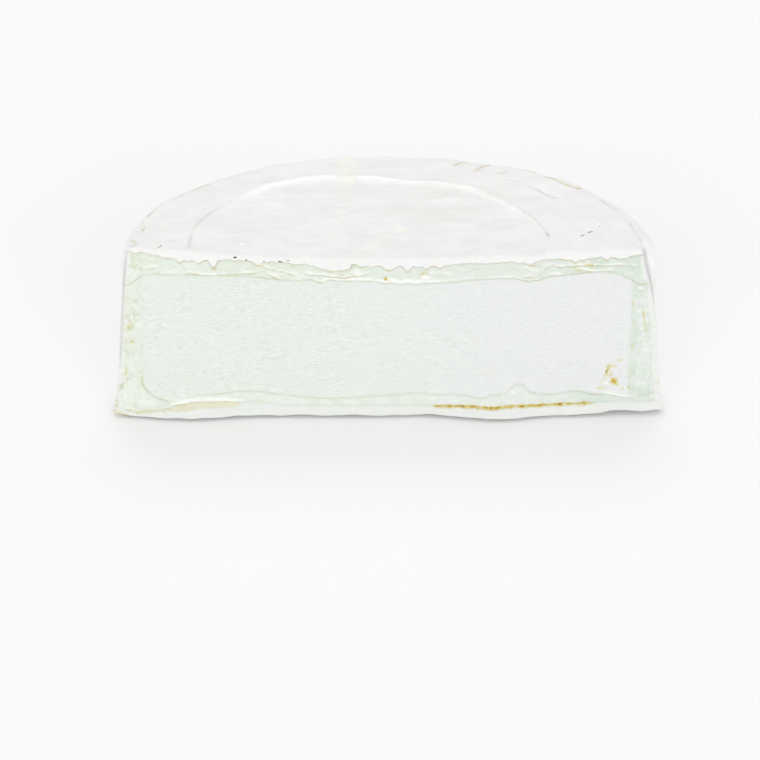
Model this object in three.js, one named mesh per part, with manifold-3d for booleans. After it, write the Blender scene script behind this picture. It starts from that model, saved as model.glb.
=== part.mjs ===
// Half of a soft white cheese wheel with a bloomy rind, cut straight across with a knife.
//
// Millimetres, +Z up. The half stands on its flat underside and the cut faces -Y, with the wheel's
// axis close behind the cut. The origin ends up under the middle of the finished shape.
//
// One solid: a turned wheel, dented and creased as a ripe rind is, less a block whose one working
// side is the relief that the knife left on the paste.

import * as THREE from 'three';
import { mergeVertices } from 'three/addons/utils/BufferGeometryUtils.js';
import { ImprovedNoise } from 'three/addons/math/ImprovedNoise.js';
import Module from 'manifold-3d';

const { clamp, lerp, smoothstep } = THREE.MathUtils;

// ---- The whole wheel ----

const WHEEL_HEIGHT = 67.7;
const MID_RADIUS = 99.6; // at half height
const WALL_TAPER = 5.5; // how much narrower the wall is at the top than at the foot
const FOOT_FLARE = 1.5; // the soft foot spreads where it stands
const FOOT_FLARE_HEIGHT = 3.2;
const FOOT_ROUND = 1.1;
const SHOULDER_ROUND = 3.3;
const SHOULDER_BULGE = { at: 58, width: 8, swell: 1.3 };

const WALL_WAVINESS = 0.7; // soft dents all round the wall
const TOP_WAVINESS = 0.35;

// The top sinks towards the middle of the cut.
const TOP_SAG = { depth: 1.9, x: 2, halfWidth: 62, reach: 42 };

// A shallow ring is pressed into the top, a little off the wheel's axis.
const RING = { x: -7.1, y: 6.3, radius: 65.4, depth: 0.95, halfWidth: 1.5 };
const RING_INSIDE_DROP = 0.9;
const RING_BANK = { height: 0.45, outside: 3.4, halfWidth: 2.3 };
const RING_SWELLING = { height: 0.7, inside: 3.2, halfWidth: 2.6 };

// Lumps on the left and back left of the rim, and rind raised behind a fold on the back right.
const RIM_LUMPS = [
  { x: -86, y: 42, width: 9, rise: 0.6 },
  { x: -46, y: 84, width: 7, rise: 1.1 },
  { x: -31, y: 89, width: 6, rise: 0.9 },
  { x: -17, y: 92, width: 5, rise: 1.3 },
  { x: 72, y: 63, width: 11, rise: 0.9 },
  { x: 88, y: 30, width: 9, rise: 0.3 },
];
const FOLD = { from: [52, 73], bend: [57, 55], to: [90, 49], depth: 0.9, halfWidth: 2.2 };

// The cut's two upper corners are pressed in, so the wall bulges past them further back.
const CORNER_PINCHES = [
  { side: 1, depth: 4.2, reach: 6, lowest: 36 },
  { side: -1, depth: 1.3, reach: 5, lowest: 46 },
];

// The front right end of the foot is curled up off the table in two lobes.
const CURLED_LOBES = [
  { at: 86, width: 8, lift: 1.5 },
  { at: 99, width: 4.5, lift: 1.2 },
];
const CURL_REACH = { from: -4, to: 16, height: 14 };

// ---- The cut ----

const CUT_OFFSET = 2.5; // the cut passes this far in front of the axis
const CUT_BOW = 3.3; // and the soft paste swells forward in its middle
const BLOCK_DEPTH = 140;
const BLOCK_MARGIN = 6; // how far the block reaches past the wheel on each side

// Heights on the cut, each a level with hills and dips along x.
const LIP_EDGE = {
  level: 62.8,
  hills: [
    { at: -94, width: 14, rise: 3.6 },
    { at: -58, width: 11, rise: 1.1 },
    { at: -64, width: 1.8, rise: -3.2 },
    { at: -47, width: 1.8, rise: -1.3 },
    { at: -19.5, width: 8, rise: -2.8 },
    { at: 6, width: 15, rise: -1.2 },
    { at: 0, width: 2.6, rise: -1.5 },
    { at: 7.5, width: 1.8, rise: -1.7 },
    { at: 18, width: 2.4, rise: -1.2 },
    { at: 44, width: 5, rise: 0.5 },
    { at: 60, width: 6, rise: 1.5 },
    { at: 77, width: 7, rise: 1.8 },
    { at: 92, width: 6, rise: 2.4 },
  ],
};
const CREAM_RIDGE = {
  level: 57.6,
  hills: [
    { at: 6, width: 30, rise: -2.9 },
    { at: -38, width: 10, rise: -1.2 },
    { at: -25, width: 1.8, rise: -1.2 },
    { at: 52, width: 5, rise: -1.9 },
    { at: 77, width: 10, rise: 1.2 },
    { at: -97, width: 5, rise: -4.5 },
    { at: 95, width: 5, rise: -5 },
  ],
};
const FOOT_RIDGE = {
  level: 9.6,
  hills: [
    { at: -95, width: 4.5, rise: 7 },
    { at: -82, width: 8, rise: -3.2 },
    { at: -52, width: 9, rise: 1.6 },
    { at: -22, width: 12, rise: -1.2 },
    { at: 12, width: 10, rise: 0.8 },
    { at: 34, width: 3.5, rise: -1.3 },
    { at: 48.5, width: 4, rise: 4.2 },
    { at: 69.5, width: 3.5, rise: 1.4 },
    { at: 90, width: 7, rise: -2.4 },
  ],
};
const FOOT_SEAM = {
  level: 5,
  hills: [
    { at: -92, width: 9, rise: -3.6 },
    { at: -70, width: 12, rise: 1.3 },
    { at: 38, width: 6, rise: -0.5 },
  ],
};

// How far the foot of the cut spreads forward along x.
const FOOT_EDGE = {
  level: 0,
  hills: [
    { at: -100, width: 14, rise: 4.2 },
    { at: -73, width: 10, rise: 4.2 },
    { at: 12, width: 8, rise: -1.1 },
    { at: 39, width: 13, rise: 3.2 },
    { at: 66, width: 10, rise: -1.2 },
  ],
};
const FOOT_EDGE_HEIGHT = 6.5;

// On the left the foot's rind has come away and leaves a hollow under the seam.
const HOLLOW = { start: -87, full: -80, fade: -60, end: -46, height: 3, depth: 1 };

// How far each feature stands proud of the knife's plane (+) or lies behind it (-).
const LIP_PROUD = 1.7;
const LIP_EDGE_SOFTNESS = 1.1;
const UNDER_LIP_DIP = -0.7;
const CREAM_PROUD = 1;
const FOOT_RIDGE_PROUD = 0.8;
const FOOT_BAND_DIP = -0.35;
const FOOT_RIND_PROUD = 0.5;
const SEAM_DEPTH = -0.8;
const SIDE_BANDS = [
  { at: -96, width: 4.5, proud: 0.9 },
  { at: 92.5, width: 2.6, proud: -0.7 },
  { at: 98, width: 2.5, proud: 0.7 },
];
const CRUMBLY_LIP = { from: 54, to: 78, proud: 0.8 };
const PASTE_WAVINESS = 0.22;

// ---- Mesh density ----

const WHEEL_SEGMENTS = 120;
const CUT_COLUMNS = 92;
const PASTE_ROWS = 8;

const noise = new ImprovedNoise();

/** A hill of height 1 at the centre. */
function hill(value, centre, width) {
  const offset = (value - centre) / width;
  return Math.exp(-offset * offset);
}

/** A level that hills raise and dips lower along x. */
function heightAlong(x, line) {
  return line.hills.reduce((sum, each) => sum + each.rise * hill(x, each.at, each.width), line.level);
}

function distanceToSegment(x, y, [x1, y1], [x2, y2]) {
  const alongX = x2 - x1;
  const alongY = y2 - y1;
  const share = clamp(((x - x1) * alongX + (y - y1) * alongY) / (alongX ** 2 + alongY ** 2), 0, 1);
  return Math.hypot(x - x1 - share * alongX, y - y1 - share * alongY);
}

// ---- The wheel ----

function wallRadius(z) {
  const taper = WALL_TAPER * (0.5 - z / WHEEL_HEIGHT);
  return MID_RADIUS + taper + FOOT_FLARE * Math.exp(-z / FOOT_FLARE_HEIGHT);
}

/** The wheel's half section, from the axis below, out, up the wall and back to the axis. */
function wheelProfile() {
  const points = [];
  const quarterArc = (centreR, centreZ, radius, startAngle, steps) => {
    for (let step = 0; step <= steps; step += 1) {
      const angle = startAngle + (Math.PI / 2) * (step / steps);
      points.push(new THREE.Vector2(centreR + radius * Math.cos(angle), centreZ + radius * Math.sin(angle)));
    }
  };

  const footR = wallRadius(0) - FOOT_ROUND;
  for (const share of [0, 0.45, 0.8, 0.93]) {
    points.push(new THREE.Vector2(footR * share, 0));
  }
  quarterArc(footR, FOOT_ROUND, FOOT_ROUND, -Math.PI / 2, 2);
  for (const z of [2.6, 5, 9, 15, 22, 29, 36, 43, 50, 57]) {
    points.push(new THREE.Vector2(wallRadius(z), z));
  }
  const shoulderR = wallRadius(WHEEL_HEIGHT - SHOULDER_ROUND) - SHOULDER_ROUND;
  quarterArc(shoulderR, WHEEL_HEIGHT - SHOULDER_ROUND, SHOULDER_ROUND, 0, 4);
  for (const beyondRing of [23, 19.5, 16, 12.5, 9, 6, 3.6, 1.5, 0, -1.5, -3.4, -6, -10, -15, -22, -31, -42, -53]) {
    points.push(new THREE.Vector2(RING.radius + beyondRing, WHEEL_HEIGHT));
  }
  points.push(new THREE.Vector2(0, WHEEL_HEIGHT));
  return points;
}

/** Height of the top above or below its plain level. */
function topRelief(x, y) {
  const fromRing = Math.hypot(x - RING.x, y - RING.y) - RING.radius;
  const toBack = smoothstep(y, 10, 50);
  const toRight = smoothstep(x, 20, 50);

  let rise = -RING_INSIDE_DROP * (1 - smoothstep(fromRing, -4, 1));
  rise -= RING.depth * lerp(1, 0.6, toBack) * hill(fromRing, 0, RING.halfWidth);
  rise += RING_BANK.height * toBack * hill(fromRing, RING_BANK.outside, RING_BANK.halfWidth);
  rise += RING_SWELLING.height * toRight * hill(fromRing, -RING_SWELLING.inside, RING_SWELLING.halfWidth);
  rise -= TOP_SAG.depth * hill(x, TOP_SAG.x, TOP_SAG.halfWidth) * hill(y, 0, TOP_SAG.reach);
  for (const lump of RIM_LUMPS) {
    rise += lump.rise * hill(Math.hypot(x - lump.x, y - lump.y), 0, lump.width);
  }
  const toFold = Math.min(
    distanceToSegment(x, y, FOLD.from, FOLD.bend),
    distanceToSegment(x, y, FOLD.bend, FOLD.to),
  );
  rise -= FOLD.depth * hill(toFold, 0, FOLD.halfWidth);
  rise += TOP_WAVINESS * noise.noise(x / 11, y / 11, 3.7);
  return rise;
}

/** How far the wall is dented in (-) or swells out (+). */
function wallRelief(x, y, z) {
  const angle = Math.atan2(y, x);
  let swell = WALL_WAVINESS * noise.noise(angle * 3.4 + 9.1, z / 26, 1.3);
  swell += 0.5 * WALL_WAVINESS * noise.noise(angle * 9, z / 11, 6.1);
  swell += SHOULDER_BULGE.swell * hill(z, SHOULDER_BULGE.at, SHOULDER_BULGE.width);
  for (const pinch of CORNER_PINCHES) {
    const atSide = pinch.side * x > 0 ? 1 : 0;
    const nearCut = 1 - smoothstep(y, 0, pinch.reach);
    swell -= atSide * pinch.depth * nearCut * smoothstep(z, pinch.lowest, WHEEL_HEIGHT);
  }
  return swell;
}

function curlLift(x, y) {
  const lift = CURLED_LOBES.reduce((sum, lobe) => sum + lobe.lift * hill(x, lobe.at, lobe.width), 0);
  return lift * (1 - smoothstep(y, CURL_REACH.from, CURL_REACH.to));
}

/** Moves one point of the plain turned wheel to its place on the ripe one. */
function shapeWheelPoint(point) {
  const radius = Math.hypot(point.x, point.y);
  const onTop = smoothstep(point.z, WHEEL_HEIGHT - SHOULDER_ROUND, WHEEL_HEIGHT);
  const outward = new THREE.Vector3(point.x, point.y, 0).normalize();

  // The rings of the mesh follow the pressed ring's own centre, and the rim follows the wheel's.
  const centred = onTop * (1 - smoothstep(radius, RING.radius + 6, RING.radius + 22));
  point.x += RING.x * centred;
  point.y += RING.y * centred;

  const onWall = smoothstep(radius, MID_RADIUS * 0.9, MID_RADIUS * 0.95) * smoothstep(point.z, 0, 4);
  point.addScaledVector(outward, onWall * wallRelief(point.x, point.y, point.z));
  point.z += onTop * topRelief(point.x, point.y);
  point.z += (1 - smoothstep(point.z, 0, CURL_REACH.height)) * curlLift(point.x, point.y);
}

// ---- The knife's block ----

/** The heights of the block's rows of vertices, which follow the ridges and seams along x. */
function rowHeights(x) {
  const lipEdge = heightAlong(x, LIP_EDGE);
  const creamRidge = heightAlong(x, CREAM_RIDGE);
  const footRidge = heightAlong(x, FOOT_RIDGE);
  const footSeam = heightAlong(x, FOOT_SEAM);

  const rows = [-BLOCK_MARGIN, 0, lerp(0, footSeam - 0.8, 0.6), footSeam - 0.8, footSeam, footSeam + 0.8];
  rows.push(lerp(footSeam + 0.8, footRidge - 0.6, 0.55), footRidge - 0.6, footRidge + 0.6);
  for (let row = 1; row <= PASTE_ROWS; row += 1) {
    rows.push(lerp(footRidge + 0.6, creamRidge - 0.7, row / PASTE_ROWS));
  }
  rows.push(creamRidge + 0.5, lerp(creamRidge + 0.5, lipEdge - 0.6, 0.5), lipEdge - 0.6);
  rows.push(lipEdge + 0.6, lipEdge + 1.6, WHEEL_HEIGHT + 1, WHEEL_HEIGHT + BLOCK_MARGIN);
  return rows;
}

/** How far the cut surface stands proud of the knife's plane at a place on it. */
function cutRelief(x, z) {
  const fromLip = z - heightAlong(x, LIP_EDGE);
  const fromCream = z - heightAlong(x, CREAM_RIDGE);
  const fromFootRidge = z - heightAlong(x, FOOT_RIDGE);
  const fromSeam = z - heightAlong(x, FOOT_SEAM);
  const lip = smoothstep(fromLip, -LIP_EDGE_SOFTNESS, LIP_EDGE_SOFTNESS);

  // The rind's torn lip hangs over the soft layer under it, which ends in a smeared ridge.
  let proud = LIP_PROUD * lip;
  proud += UNDER_LIP_DIP * hill(fromLip, -1.4, 1.2);
  proud += CREAM_PROUD * smoothstep(fromCream, -0.9, 0.6) * (1 - smoothstep(fromCream, 0.6, 4.5));
  const crumbly = smoothstep(x, CRUMBLY_LIP.from, CRUMBLY_LIP.from + 4) * (1 - smoothstep(x, CRUMBLY_LIP.to, 84));
  proud += CRUMBLY_LIP.proud * crumbly * hill(fromLip, -2, 2.4) * (0.5 + noise.noise(x / 2.6, z / 2.6, 4.2));

  // Below, the core is smeared over the soft layer, and a seam parts that from the rind underneath.
  const hollow = smoothstep(x, HOLLOW.start, HOLLOW.full) * (1 - smoothstep(x, HOLLOW.fade, HOLLOW.end));
  proud += FOOT_RIDGE_PROUD * smoothstep(fromFootRidge, -0.8, 0.6) * (1 - smoothstep(fromFootRidge, 0.6, 4.5));
  proud += FOOT_BAND_DIP * smoothstep(fromSeam, 0, 1.6) * (1 - smoothstep(fromFootRidge, -1, 0.3));
  proud += SEAM_DEPTH * hill(fromSeam, 0, 0.8);
  proud += FOOT_RIND_PROUD * (1 - smoothstep(fromSeam, -1.6, -0.4));
  proud -= HOLLOW.depth * hollow * hill(fromSeam, -HOLLOW.height / 2, HOLLOW.height / 2);

  for (const band of SIDE_BANDS) {
    const lumpy = 1 + 0.6 * noise.noise(band.at, z / 5, 2.4);
    proud += band.proud * lumpy * hill(x, band.at, band.width) * (1 - lip);
  }
  proud += PASTE_WAVINESS * noise.noise(x / 14, z / 9, 8.8);
  proud += heightAlong(x, FOOT_EDGE) * (1 - smoothstep(z, 0, FOOT_EDGE_HEIGHT));
  return proud;
}

function cutSurfaceY(x, z) {
  const bow = CUT_BOW * (1 - (x / MID_RADIUS) ** 2);
  return -CUT_OFFSET - Math.max(bow, -CUT_OFFSET) - cutRelief(x, z);
}

/** Gives the block's +Y side, which starts flat and evenly divided, the form of the cut. */
function shapeBlockPoint(point, halfHeight) {
  if (point.y < 0) {
    return;
  }
  const rows = rowHeights(point.x);
  const row = Math.round(((point.z + halfHeight) / (2 * halfHeight)) * (rows.length - 1));
  point.z = rows[row];
  point.y = cutSurfaceY(point.x, point.z);
}

// ---- Solids ----

/** Joins shared corners and drops the triangles that have shrunk to nothing, as on a turning axis. */
function closedGeometry(source) {
  const bare = source.clone();
  bare.deleteAttribute('normal');
  bare.deleteAttribute('uv');
  const merged = mergeVertices(bare, 1e-3);
  const kept = [];
  const corners = merged.index.array;
  for (let first = 0; first < corners.length; first += 3) {
    const [a, b, c] = corners.slice(first, first + 3);
    if (a !== b && b !== c && c !== a) {
      kept.push(a, b, c);
    }
  }
  merged.setIndex(kept);
  return merged;
}

function movePoints(geometry, move) {
  const positions = geometry.attributes.position;
  const point = new THREE.Vector3();
  for (let index = 0; index < positions.count; index += 1) {
    point.fromBufferAttribute(positions, index);
    move(point);
    positions.setXYZ(index, point.x, point.y, point.z);
  }
}

function makeWheel() {
  const turned = new THREE.LatheGeometry(wheelProfile(), WHEEL_SEGMENTS);
  turned.rotateX(Math.PI / 2);
  const wheel = closedGeometry(turned);
  movePoints(wheel, shapeWheelPoint);
  return wheel;
}

function makeKnifeBlock() {
  const width = 2 * (wallRadius(0) + BLOCK_MARGIN);
  const height = WHEEL_HEIGHT + 2 * BLOCK_MARGIN;
  const rowCount = rowHeights(0).length - 1;
  const block = closedGeometry(new THREE.BoxGeometry(width, BLOCK_DEPTH, height, CUT_COLUMNS, 1, rowCount));
  movePoints(block, (point) => {
    shapeBlockPoint(point, height / 2);
    if (point.y === -BLOCK_DEPTH / 2) {
      point.y = -BLOCK_DEPTH;
      point.z += WHEEL_HEIGHT / 2;
    }
  });
  return block;
}

const manifold = await Module();
manifold.setup();

function toSolid(geometry) {
  return new manifold.Manifold(new manifold.Mesh({
    numProp: 3,
    vertProperties: new Float32Array(geometry.attributes.position.array),
    triVerts: new Uint32Array(geometry.index.array),
  }));
}

function fromSolid(solid) {
  const mesh = solid.getMesh();
  const geometry = new THREE.BufferGeometry();
  geometry.setAttribute('position', new THREE.BufferAttribute(mesh.vertProperties, 3));
  geometry.setIndex(new THREE.BufferAttribute(mesh.triVerts, 1));
  return geometry;
}

/** Puts the origin under the middle of the shape, on the plane it stands on. */
function standOnOrigin(geometry) {
  geometry.computeBoundingBox();
  const { min, max } = geometry.boundingBox;
  geometry.translate(-(min.x + max.x) / 2, -(min.y + max.y) / 2, -min.z);
}

const halfGeometry = fromSolid(toSolid(makeWheel()).subtract(toSolid(makeKnifeBlock())));
standOnOrigin(halfGeometry);
halfGeometry.computeVertexNormals();

const rindWhite = new THREE.MeshStandardMaterial({ color: 0xf1f2ec, roughness: 0.75, metalness: 0 });
const halfWheel = new THREE.Mesh(halfGeometry, rindWhite);
halfWheel.name = 'half_wheel';

const cheese = new THREE.Group();
cheese.add(halfWheel);

export default cheese;
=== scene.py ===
"""Half a wheel of soft white cheese with a bloomy rind, cut across, on a pale studio floor.

The cheese is one closed mesh. Rings of points run from the middle of the underside out to the
foot, up the cut and the wall, over the rim and back to the middle of the top. Named relief moves
them: the pressed ring, the folds and wrinkles of the rind, its torn lip, and the smears, seams and
hollows that the knife left on the paste. Fields stored at the points then tell the material how far
each place is from the rind, the soft layer, the creases and the stains, and where it paints shade
and highlights into the colour.

Lengths are millimetres in the wheel's own frame: x along the cut, y from the wheel's axis to the
round back, z up. They become metres in the part's frame when the mesh is made.
"""

import itertools
import math

import bpy
import numpy as np
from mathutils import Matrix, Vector


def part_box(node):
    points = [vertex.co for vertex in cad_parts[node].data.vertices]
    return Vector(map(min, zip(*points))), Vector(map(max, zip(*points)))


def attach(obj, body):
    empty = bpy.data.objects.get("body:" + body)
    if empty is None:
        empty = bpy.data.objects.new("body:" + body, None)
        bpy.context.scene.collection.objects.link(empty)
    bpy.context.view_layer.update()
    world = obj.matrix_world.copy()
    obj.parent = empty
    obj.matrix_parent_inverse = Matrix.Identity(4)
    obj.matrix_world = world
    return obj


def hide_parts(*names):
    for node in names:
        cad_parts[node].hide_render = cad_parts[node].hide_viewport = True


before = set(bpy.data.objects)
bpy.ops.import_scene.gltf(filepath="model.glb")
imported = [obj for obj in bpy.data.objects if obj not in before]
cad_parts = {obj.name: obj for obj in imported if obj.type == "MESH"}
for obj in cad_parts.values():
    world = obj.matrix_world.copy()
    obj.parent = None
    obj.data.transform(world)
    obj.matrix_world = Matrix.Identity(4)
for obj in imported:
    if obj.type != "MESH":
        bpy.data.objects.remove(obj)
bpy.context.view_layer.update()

MM = 0.001

# ---- The plain wheel: its box comes from the CAD solid ----

low, high = (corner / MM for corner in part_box("half_wheel"))
HIGHEST_LUMP = 0.98
WHEEL_HEIGHT = high.z - HIGHEST_LUMP
FOOT_RADIUS = (high.x - low.x) / 2
AXIS_Y = high.y - FOOT_RADIUS
WALL_TAPER = 5.5
FOOT_FLARE = 1.5
FOOT_FLARE_HEIGHT = 3.2
MID_RADIUS = FOOT_RADIUS - FOOT_FLARE - WALL_TAPER / 2
WALL_FOOT_ROUND = 1.1
CUT_FOOT_ROUND = 0.9
RIM_ROUND = 3.3
CUT_EDGE_ROUND = 0.9

CUT_OFFSET = 2.5
CUT_BOW = 3.3

# ---- Forms of the top, as (x, y). A stroke is its half width and the points of its path ----

SAG_DEPTH = 1.9
SAG_X = 2
SAG_HALF_WIDTH = 62
SAG_REACH = 42
RING_X = -7.1
RING_Y = 6.3
RING_RADIUS = 65.4
RING_INSIDE_DROP = 0.9
RING_RISES = {"groove": -0.6, "bank": 0.6, "crack": -0.5, "inner_bank": 0.4}
# The angles round the ring where each part starts, is full, begins to fade and ends.
GROOVE_ANGLES = (124, 138, 184, 190)
BANK_ANGLES = (40, 56, 128, 142)
CRACK_ANGLES = (0, 6, 34, 44)
INNER_BANK_ANGLES = (4, 40, 44, 56)
OUTER_LINE_ANGLES = (98, 106, 122, 134)
RING_BRANCH = [(-71.7, 23), (-71.1, 31), (-69.7, 39)]
# Each lump of the rim: rise, x, y and width.
RIM_LUMPS = [
    (0.6, -86, 42, 9), (1.1, -46, 84, 7), (0.9, -31, 89, 6), (1.3, -17, 92, 5),
    (0.5, 51, 79, 8), (0.6, 61, 64, 7), (0.9, 72, 63, 11), (0.3, 88, 30, 9),
]
FOLD = [(54, 61.5), (57.4, 57.5), (60.3, 53.1), (63.9, 49.8), (68.8, 48.7), (76, 49)]
FOLD_DEPTH = 0.7
FOLD_FADE = (60, 72)
# Small folds, whose rise is below 0, then small swells: rise, half width and points of the path.
# In the top's colour the folds also get painted shade and the swells a painted highlight.
SMALL_FORMS = [
    (-0.3, 0.8, (46, 69), (54, 65.5)), (-0.15, 1, (50, 47), (53, 56)),
    (-0.4, 0.7, (93, 1), (91.7, 9), (90.2, 22)), (-0.4, 0.7, (90.2, 22), (86.5, 34.5), (80.8, 47)),
    (-0.06, 3.5, (-57, 43), (-49, 36), (-38, 30), (-32, 28)),
    (-0.15, 1.1, (-32, 48), (-24, 45.5), (-16, 43)), (-0.2, 1.3, (-21, 21), (-12, 19)),
    (-0.2, 3, (22, 32), (34, 27)), (0.3, 5, (-51, 53), (-44, 44)), (0.25, 3, (16, 47), (30, 53)),
    (0.2, 3, (-70, 16), (-62, 12)),
]
WHITE_BUMP = (-54, 5, 1.2)
WHITE_BUMP_RISE = 0.5

# Where the rind is scraped thin, rubbed beige, or marked by a brown speck.
SCRAPES = [
    (3.8, (-16.2, 97), (-16.2, 69)), (1.4, (-18.4, 66), (-18.6, 52)), (1, (-15.2, 66), (-14.8, 50)),
    (0.4, (-15.4, 50), (-16, 43), (-18, 37), (-19.5, 27), (-19.8, 20), (-21.5, 13)),
]
DIAGONAL = [(-13.5, -5), (-9.8, -0.7), (-4.7, 5.9), (1.2, 14.8), (5, 21)]
RIM_SCUFFS = [
    (0.45, (-69.9, 63.5), (-72.8, 60.7), (-75.7, 57.5)), (0.2, (-78.3, 53), (-83.3, 46.3)),
    (0.45, (-85.6, 42.5), (-88, 38), (-89.8, 33), (-90.8, 28.5)),
    (0.25, (-91.8, 23.4), (-90.8, 18.7), (-91.5, 11)), (0.3, (-94.6, 4.3), (-92.4, 1.3), (-93.7, -2.7)),
    (0.2, (-53.2, 78.4), (-49.7, 77.3)), (0.5, (26.4, 84.5), (28, 87.4), (30.4, 88.9)),
    (0.6, (34, 78.4), (36.9, 82.3), (40.2, 85.8)), (0.3, (42.9, 75.1), (46.9, 76.4)),
    (0.7, (53.5, 79.3), (57.5, 75.8)), (0.6, (61, 71.5), (65.3, 63.5), (69, 60.1), (73.8, 56.9)),
]
SMUDGES = [
    (5, (4, 38), (19, 35), (31, 38)), (5, (16, 60), (24, 62)), (4, (35, 56), (42, 52)),
]
# Each speck's half width; below 0 it only tints the rind.
TOP_SPECKS = [
    (-0.1, (-17, 74), (-14.2, 74)), (-0.15, (-20, 94.5), (-13.5, 94.5)),
    (-0.1, (-92.6, 1), (-92.2, -2)),
]
TOP_DARK_SPECKS = [
    (0.4, (-84.2, -1.6), (-83.3, -0.2)), (0.42, (71.2, 9.6), (72.3, 12), (75.3, 14.8)),
    (0.4, (78, 18.6), (78.3, 18.8)), (0.02, (-75.9, 12.8), (-73.7, 12.8)),
    (0.02, (28.1, -3.8), (30, -0.8)), (0.02, (77.4, -0.5), (79.5, 3)),
]

CORNER_PINCHES = [(1, 4.2, 6, 36), (-1, 1.3, 5, 46)]  # each one's side, depth, reach and lowest point
CURLED_LOBES = [(86, 8, 0.9), (99, 4.5, 0.8)]  # each one's x, width and lift
CURL_REACH = (-4, 16)
CURL_HEIGHT = 14
EDGE_LIFT = 1.2
EDGE_LIFT_REACH = (1.6, 9)
EDGE_LIFT_HEIGHT = 5

# ---- Lines that run along the cut: a level, and hills and dips as (x, width, rise) ----

LIP_EDGE = (63.1, [
    (-94, 14, 3.6), (-58, 11, 1.1), (-19.5, 8, -2.8), (6, 15, -1.2), (44, 5, 0.5),
    (60, 6, 1.5), (77, 7, 1.8), (92, 6, 2.4),
])
# Each tooth's x, width and hang.
LIP_TEETH = [
    (-76.3, 1.6, 1.3), (-69.3, 2, 1.2), (-64.1, 2, 3.5), (-47.8, 2.4, 1.5), (-21.5, 3, 0.7),
    (0, 3.5, 1.8), (7, 1.8, 1.9), (13.6, 1.8, 1.3), (18.7, 1.8, 1.4), (52.3, 3, 0.9),
    (68, 1.4, 0.6), (79.3, 1.6, 1.1),
]
LIP_STEP = (-13.8, 4, 1.7)  # its x, reach and rise
CREAM_RIDGE = (57.6, [
    (6, 30, -2.9), (-38, 10, -1.2), (-25, 1.8, -1.2), (-7, 6, 0.7), (52, 5, -1.9),
    (77, 10, 1.2), (-97, 5, -4.5), (94, 7, -4.2),
])
# How strong the painted highlight on the cream ridge's crest is along x.
CREAM_CREST = (0.3, [
    (-69, 9, 0.7), (-20, 12, 0.6), (5, 15, 1.1), (43, 5, 0.6), (-90, 7, -0.3), (72, 12, -0.3),
])
FOOT_RIDGE = (9.6, [
    (-95, 4.5, 7), (-82, 8, -3.2), (-52, 9, 1.6), (-22, 12, -1.2), (12, 10, 0.8),
    (34, 3.5, -1.3), (48.5, 4, 4.2), (69.5, 3.5, 1.4), (90, 7, -2.4),
])
FOOT_SEAM = (5, [(-92, 9, -4), (-62, 16, 1.6), (38, 6, -0.5), (70, 12, 0.4)])
# How far the foot of the cut stands forward along x.
FOOT_EDGE = (0, [(-80, 24, 4.6), (-70, 8, 0.8), (12, 8, -1), (41, 16, 4.2), (73, 9, 0.8), (95, 5, 0.9)])
FOOT_EDGE_HEIGHT = 7

# How far each form of the cut stands proud, or lies deep.
LIP_PROUD = 1.6
LIP_DIP_DEPTH = 0.2
CREAM_PROUD = 0.9
SOFT_PROUD = 0.3
FOOT_RIDGE_PROUD = 0.55
FOOT_DIP_DEPTH = 0.35
SEAM_DEPTH = 0.65
FOOT_RIND_PROUD = 0.4
FLAP_PROUD = 0.7
CREASE_DEPTH = 0.15
MOULD_DEPTH = 0.25
TORN_PROUD = 0.3
BAND_PROUD = 0.3

# ---- Forms of the cut, as (x, z) ----

# Smeared edges: a rise and points. Each hangs over what is under its line and fades upward.
SMEARS = [
    (0.3, (-95, 60.5), (-88, 59.9), (-83, 60.6)), (0.4, (-100.5, 3), (-97, 2.8), (-93.5, 3)),
    (0.3, (-76.4, 58.4), (-72.7, 58.8), (-69, 58.2), (-64, 57.8)),
    (0.6, (-63.9, 58.3), (-58.1, 58.5), (-52.6, 58.8), (-46.3, 58.7)),
    (0.4, (-50.7, 62.9), (-46.3, 61.3), (-39.7, 59.6), (-35.4, 58.7), (-32, 58)),
    (0.4, (-46.3, 59.8), (-42.7, 57.8), (-38, 56)),
    (0.4, (-32.4, 59.1), (-27, 58.4), (-16, 57.4), (-13.5, 58.1), (-6, 58.8)),
    (0.4, (47.5, 62.9), (51.5, 61.9), (55.2, 61.2)), (0.3, (47.9, 62.1), (50.8, 60.1), (52.7, 58.9)),
    (0.4, (47, 57.3), (52, 57.4), (55.5, 57.8)),
    (0.8, (55.5, 60.9), (62, 61.1), (71, 61.5), (82, 61.6), (88, 61.2), (92, 61)),
    (0.3, (66.5, 59.3), (70, 60), (76, 58.9), (84, 59.4)),
    (0.4, (73, 9.4), (82, 9.1), (86, 7.6), (95, 7.6)), (0.4, (95, 11.5), (96.7, 15.3), (99.5, 20.5)),
]
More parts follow.
